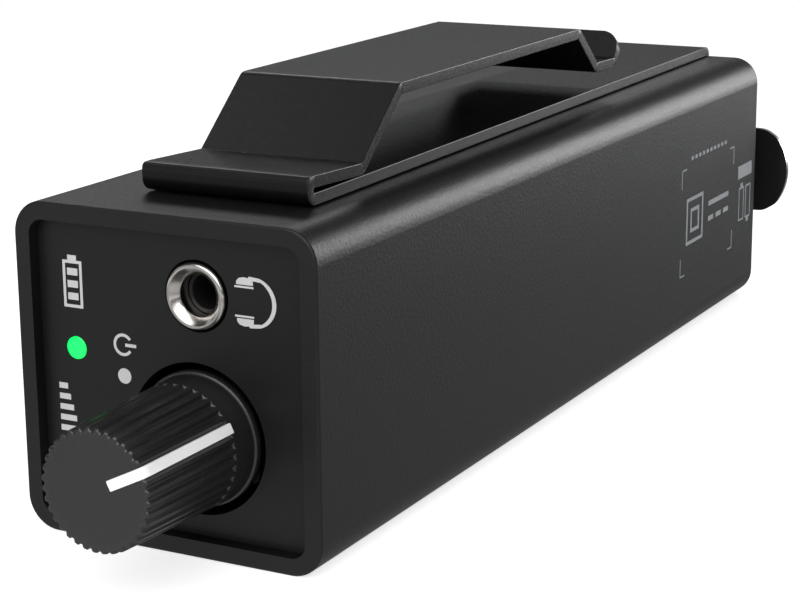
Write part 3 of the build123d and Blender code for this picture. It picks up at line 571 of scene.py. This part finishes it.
def build_lamp():
    """The lamp's lens: a shallow dome on a short barrel."""
    front = lamp_low.y
    back = lamp_high.y
    centre = ((lamp_low.x + lamp_high.x) / 2, (lamp_low.z + lamp_high.z) / 2)
    rings = []
    for share in (0.03, 0.35, 0.6, 0.8, 0.93, 1.0):
        rings.append((front + lamp_dome * (1 - sqrt(1 - share * share)), lamp_radius * share))
    rings.append((back, lamp_radius))
    placed = []
    count = 48
    for y, out in rings:
        turns = [2 * pi * i / count for i in range(count)]
        placed.append([(centre[0] + out * cos(t), y, centre[1] + out * sin(t)) for t in turns])
    corners, faces = loft(placed)
    lens = make("lamp_dome", corners, faces, [FINISHES["lamp_green"]])
    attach(lens, "case")
    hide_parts("lamp_lens")


# ---------------------------------------------------------------- belt clip


def squared(turn, half, corner):
    """How far a square with rounded corners reaches from its middle, at an angle in degrees from
    an axis."""
    turn = abs(turn)
    core = half - corner
    if tan(radians(min(turn, 89))) <= core / half:
        return half / cos(radians(turn))
    if tan(radians(min(90 - turn, 89))) <= core / half:
        return half / sin(radians(turn))
    lean = radians(turn - 45)
    away = core * sqrt(2)
    return away * cos(lean) + sqrt(corner * corner - (away * sin(lean)) ** 2)


def build_clip():
    """The belt clip as one strip, from its rear lip through the fold to its raised tip."""
    middle_x = (arm_low.x + arm_high.x) / 2
    front_half = (arm_high.x - arm_low.x) / 2
    base_z = base_high.z - sheet / 2
    fold_y = arm_low.y + fold_outer
    fold_z = base_high.z + fold_inner
    top_z = arm_high.z - sheet / 2
    rear_y = base_high.y - sheet / 2

    base = round_corners([(rear_y, base_low.z), (rear_y, base_z), (fold_y, base_z)], sheet / 2)
    base = base[:-1] + [Vector((y, base_z)) for y in base_stops]
    fold = arc((fold_y, fold_z), fold_radius, 270, 90, 36)
    arm = round_corners(
        [
            fold[-1],
            (fold_y + foot_end[0], fold_z + foot_end[1]),
            *[(fold_y + y, top_z + z) for y, z in (top_start, top_end, valley, toe, tip)],
        ],
        bend_radius,
    )
    end = arm[-1]
    run = (end - arm[-2]).normalized()
    tip_run = [end - run * tip_corner * (1 - sin(radians(a))) for a in range(0, 91, 10)]
    line = base + fold + arm[1:-1] + tip_run

    widths = []
    extra = []
    for i, point in enumerate(line):
        in_fold = i - len(base)
        extra.append(0)
        if i < len(base):
            share = (point.x - fold_y) / (rear_y - fold_y)
            widths.append(front_half + (rear_half_width - front_half) * share)
        elif i >= len(line) - len(tip_run):
            along = 90 * (i - len(line) + len(tip_run)) / (len(tip_run) - 1)
            widths.append(front_half - tip_corner * (1 - cos(radians(along))))
        else:
            widths.append(front_half)
            if in_fold < len(fold):
                lean = 90 - 180 * in_fold / (len(fold) - 1)
                extra[-1] = squared(max(0, -lean), fold_outer, fold_corner) - fold_outer
    corners, faces, kinds = strip(
        line, widths, sheet, cut_rounding, lambda u, v, w: (middle_x + w, u, v), extra
    )
    # The base's cut edges keep the darker clip paint while the arm's take the lighter edge paint:
    # painted shade on the base's edges, painted highlight on the arm's.
    base_stations = len(base) + 2
    painted = base_stations * 4 * corner_points
    kinds[:painted] = [0] * painted
    paints = [FINISHES["clip_paint"], CUT_EDGE_HIGHLIGHT]
    clip = make("belt_clip", corners, faces, paints, kinds)
    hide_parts("clip_base", "clip_arm")
    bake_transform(clip)


# ---------------------------------------------------------------- prints


def bar(start, end, width):
    """A straight stroke as a four-cornered outline."""
    start, end = Vector(start), Vector(end)
    side = (end - start).normalized() * width / 2
    side = Vector((-side.y, side.x))
    return [start - side, end - side, end + side, start + side]


def bow(centre, outer, inner, start, end, steps=20):
    """A curved stroke between two radii as a list of four-cornered outlines."""
    out = arc(centre, outer, start, end, steps)
    back = arc(centre, inner, start, end, steps)
    return [[back[i], out[i], out[i + 1], back[i + 1]] for i in range(steps)]


def crescent(centre, radius, thin, thick, reach, steps=28):
    """A curved stroke to both sides of the u axis, thickest in its middle, as four-cornered
    outlines."""
    edges = []
    for i in range(steps + 1):
        angle = radians(reach * (2 * i / steps - 1))
        half = (thin + (thick - thin) * cos(angle)) / 2
        reaches = (radius - half, radius + half)
        edges.append([
            (centre[0] + r * cos(angle), centre[1] + r * sin(angle)) for r in reaches
        ])
    return [[edges[i][0], edges[i][1], edges[i + 1][1], edges[i + 1][0]] for i in range(steps)]


def disc(centre, radius, steps=32):
    """A filled circle as an outline."""
    return arc(centre, radius, 0, 360 - 360 / steps, steps - 1)


def frame_of(low, high, width):
    """A rectangle's outline as four strokes."""
    (left, bottom), (right, top) = low, high
    return [
        bar((left, bottom + width / 2), (right, bottom + width / 2), width),
        bar((left, top - width / 2), (right, top - width / 2), width),
        bar((left + width / 2, bottom + width), (left + width / 2, top - width), width),
        bar((right - width / 2, bottom + width), (right - width / 2, top - width), width),
    ]


def stamp(name, shapes, place, material):
    """Prints flat outlines as thin closed plates of ink. place turns (u, v, lift) into a point."""
    corners = []
    faces = []
    for layer, shape in enumerate(shapes):
        first = len(corners)
        count = len(shape)
        height = ink_thickness + ink_step * (layer % ink_layers)
        corners += [place(point[0], point[1], 0) for point in shape]
        corners += [place(point[0], point[1], height) for point in shape]
        faces.append(tuple(first + i for i in reversed(range(count))))
        faces.append(tuple(first + count + i for i in range(count)))
        for i in range(count):
            j = (i + 1) % count
            faces.append((first + i, first + j, first + count + j, first + count + i))
    ink = make(name, corners, faces, [material])
    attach(ink, "case")
    return ink


def print_front():
    """Generic pictograms on the control panel, all readable from its left side."""
    surface_y = panel_low.y

    def place(x, z, lift):
        return (x, surface_y - lift, z)

    lamp_x = (lamp_low.x + lamp_high.x) / 2
    battery = frame_of((lamp_x - 1.3, 24.4), (lamp_x + 1.1, 29.4), 0.32)
    battery.append(bar((lamp_x - 0.1, 29.4), (lamp_x - 0.1, 29.95), 1.1))
    battery += [bar((lamp_x - 0.75, z), (lamp_x + 0.55, z), 0.75) for z in (25.6, 26.9, 28.2)]
    stamp("print_battery", battery, place, PRINT_WHITE)

    off_x = -5.85
    off = bow((off_x, 21.15), 1.2, 0.88, 35, 325)
    off.append(bar((off_x + 0.25, 21.15), (off_x + 1.6, 21.15), 0.34))
    stamp("print_off", off, place, PRINT_WHITE)
    stamp("print_off_dot", [disc((-5.82, 17.83), 0.82)], place, PRINT_WHITE)

    left = -14.2
    steps = []
    for i in range(9):
        z = 15.8 - 1.15 * i
        length = 1.1 + 0.32 * i
        steps.append(bar((left, z), (left + length, z), 0.62))
    stamp("print_volume_steps", steps, place, PRINT_WHITE)

    middle_z = 27.35
    phones = crescent((9.85, middle_z), 2.5, 0.2, 0.46, 76)
    for side in (-1, 1):
        cup = [
            (8.0, 1.72), (9.95, 1.72), (9.95, 2.15), (9.5, 2.42),
            (8.9, 2.5), (8.35, 2.38), (8.05, 2.1),
        ]
        yoke = [
            (9.3, 2.28), (10.1, 2.18), (10.75, 2.12), (10.8, 2.48), (10.2, 2.56), (9.5, 2.62),
        ]
        for shape in (cup, yoke):
            phones.append([(x, middle_z + side * rise) for x, rise in shape])
        phones.append(bar((7.8, middle_z + side * 1.5), (10.0, middle_z + side * 1.5), 0.2))
    stamp("print_headphones", phones, place, PRINT_WHITE)


def print_side():
    """Generic marks on the case's right side: corner brackets round plain signs, a bar and two
    cells."""
    surface_x = case_high.x

    def place(y, z, lift):
        return (surface_x + lift, y, z)

    low, high = Vector((34.0, 9.15)), Vector((55.1, 24.05))
    reach = 1.7
    width = 0.22
    marks = []
    for y, inwards_y in ((low.x, 1), (high.x, -1)):
        for z, inwards_z in ((low.y, 1), (high.y, -1)):
            marks.append(bar((y, z), (y + inwards_y * reach, z), width))
            marks.append(bar((y, z), (y, z + inwards_z * reach * 1.5), width))
    stamp("print_brackets", marks, place, PRINT_GREY)

    signs = frame_of((36.0, 13.2), (42.6, 19.8), 0.5)
    signs += frame_of((37.6, 14.8), (41.0, 18.2), 0.5)
    signs.append(bar((44.8, 17.6), (53.2, 17.6), 0.7))
    signs += [bar((y, 15.4), (y + 2.1, 15.4), 0.7) for y in (44.8, 47.95, 51.1)]
    stamp("print_signs", signs, place, PRINT_GREY)

    dashes = [bar((37.4 + 1.5 * i, 25.3), (38.3 + 1.5 * i, 25.3), 0.5) for i in range(10)]
    stamp("print_dashes", dashes, place, PRINT_GREY)
    stamp("print_bar", [bar((57.3, 19.75), (63.3, 19.75), 1.9)], place, PRINT_GREY)

    cells = frame_of((57.9, 12.4), (60.1, 17.4), 0.25) + frame_of((60.8, 12.4), (63.0, 17.4), 0.25)
    cells.append(bar((59.0, 17.4), (59.0, 18.0), 1.0))
    cells.append(bar((61.9, 12.4), (61.9, 11.8), 1.0))
    stamp("print_cells", cells, place, PRINT_GREY)


# ---------------------------------------------------------------- camera, light and floor


def set_camera():
    """The camera stands to the right of the controls and looks a little down along the case."""
    turn = radians(28.06)
    down = radians(14.42)
    roll = radians(-0.5)
    distance = 0.26
    aim = Vector((-0.00175, -0.0111, 0.0142))
    look = Vector((-sin(turn) * cos(down), cos(turn) * cos(down), -sin(down)))
    camera = bpy.data.cameras.new("camera")
    camera.lens = 94.81
    camera.sensor_width = 36
    camera.clip_start = 0.01
    holder = bpy.data.objects.new("camera", camera)
    level = Euler((pi / 2 - down, 0, turn)).to_matrix()
    holder.rotation_euler = (level @ Matrix.Rotation(roll, 3, "Z")).to_euler()
    holder.location = aim - look * distance
    bpy.context.scene.collection.objects.link(holder)
    bpy.context.scene.camera = holder


def softbox(name, azimuth, elevation, distance, size, power, aim=(0, 0, 0.02)):
    """A rectangular light at a bearing from the part, 0 being behind it, that faces the part."""
    turn, rise = radians(azimuth), radians(elevation)
    light = bpy.data.lights.new(name, "AREA")
    light.shape = "RECTANGLE"
    light.size, light.size_y = size
    light.energy = power
    holder = bpy.data.objects.new(name, light)
    away = Vector((sin(turn) * cos(rise), cos(turn) * cos(rise), sin(rise)))
    holder.location = Vector(aim) + away * distance
    holder.rotation_euler = away.to_track_quat("Z", "Y").to_euler()
    holder.visible_camera = False
    bpy.context.scene.collection.objects.link(holder)


def set_world():
    """A dim room, brighter towards the front, that is plain white where it is seen directly."""
    world = bpy.data.worlds.new("studio")
    world.use_nodes = True
    nodes = world.node_tree.nodes
    link = world.node_tree.links.new
    room = nodes["Background"]
    room.inputs["Color"].default_value = (0.97, 0.985, 1, 1)
    place = nodes.new("ShaderNodeTexCoord")
    split = nodes.new("ShaderNodeSeparateXYZ")
    link(place.outputs["Generated"], split.inputs["Vector"])
    heights = nodes.new("ShaderNodeMapRange")
    heights.inputs["From Min"].default_value = -1
    heights.inputs["From Max"].default_value = 1
    link(split.outputs["Z"], heights.inputs["Value"])
    levels = nodes.new("ShaderNodeValToRGB")
    link(heights.outputs["Result"], levels.inputs["Fac"])
    ramp = levels.color_ramp
    for elevation, level in WORLD_LEVELS:
        spot = ramp.elements.new((sin(radians(elevation)) + 1) / 2)
        spot.color = (level, level, level, 1)
    ramp.elements.remove(ramp.elements[0])
    ramp.elements.remove(ramp.elements[-1])
    towards_front = nodes.new("ShaderNodeMath")
    towards_front.operation = "MULTIPLY_ADD"
    towards_front.inputs[1].default_value = -WORLD_TILT
    towards_front.inputs[2].default_value = 1
    link(split.outputs["Y"], towards_front.inputs[0])
    strength = nodes.new("ShaderNodeMath")
    strength.operation = "MULTIPLY"
    link(levels.outputs["Color"], strength.inputs[0])
    link(towards_front.outputs["Value"], strength.inputs[1])
    link(strength.outputs["Value"], room.inputs["Strength"])
    plain = nodes.new("ShaderNodeBackground")
    plain.inputs["Color"].default_value = (1, 1, 1, 1)
    seen = nodes.new("ShaderNodeLightPath")
    either = nodes.new("ShaderNodeMixShader")
    link(seen.outputs["Is Camera Ray"], either.inputs["Fac"])
    link(room.outputs["Background"], either.inputs[1])
    link(plain.outputs["Background"], either.inputs[2])
    link(either.outputs["Shader"], nodes["World Output"].inputs["Surface"])
    bpy.context.scene.world = world


def set_studio():
    """The room, a soft overhead light, the softboxes and a white floor that glows a little."""
    set_world()
    overhead = bpy.data.lights.new("overhead", "SUN")
    overhead.energy = overhead_strength
    overhead.angle = radians(overhead_angle)
    holder = bpy.data.objects.new("overhead", overhead)
    holder.rotation_euler = (radians(overhead_lean[0]), radians(overhead_lean[1]), 0)
    bpy.context.scene.collection.objects.link(holder)

    for settings in SOFTBOXES:
        softbox(*settings)

    turns = [2 * pi * i / floor_sides for i in range(floor_sides)]
    floor_z = case_low.z - floor_gap
    corners = [(floor_radius * cos(t), floor_radius * sin(t), floor_z) for t in turns]
    white = finish(
        "floor_white", (0.93, 0.93, 0.93), 0.16, grain=40, depth=0.002, drift=0.01, spread=0.02
    )
    floor = make("floor", corners, [tuple(range(floor_sides))], [white])
    shader = white.node_tree.nodes["Principled BSDF"]
    shader.inputs["Emission Color"].default_value = (1, 1, 1, 1)
    shader.inputs["Emission Strength"].default_value = floor_glow
    floor.visible_glossy = False
    floor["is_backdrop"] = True
    bpy.context.scene.view_settings.view_transform = "Standard"


paint_nodes()
bare_edges(FINISHES["lever_steel"], lever_high.y - bare_reach)
build_knob()
build_jack_ring()
build_lamp()
build_clip()
print_front()
print_side()
set_camera()
set_studio()

boxes = {"cad": cad_box, "visual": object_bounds()}
{name: [list(corner) for corner in pair] for name, pair in boxes.items()}
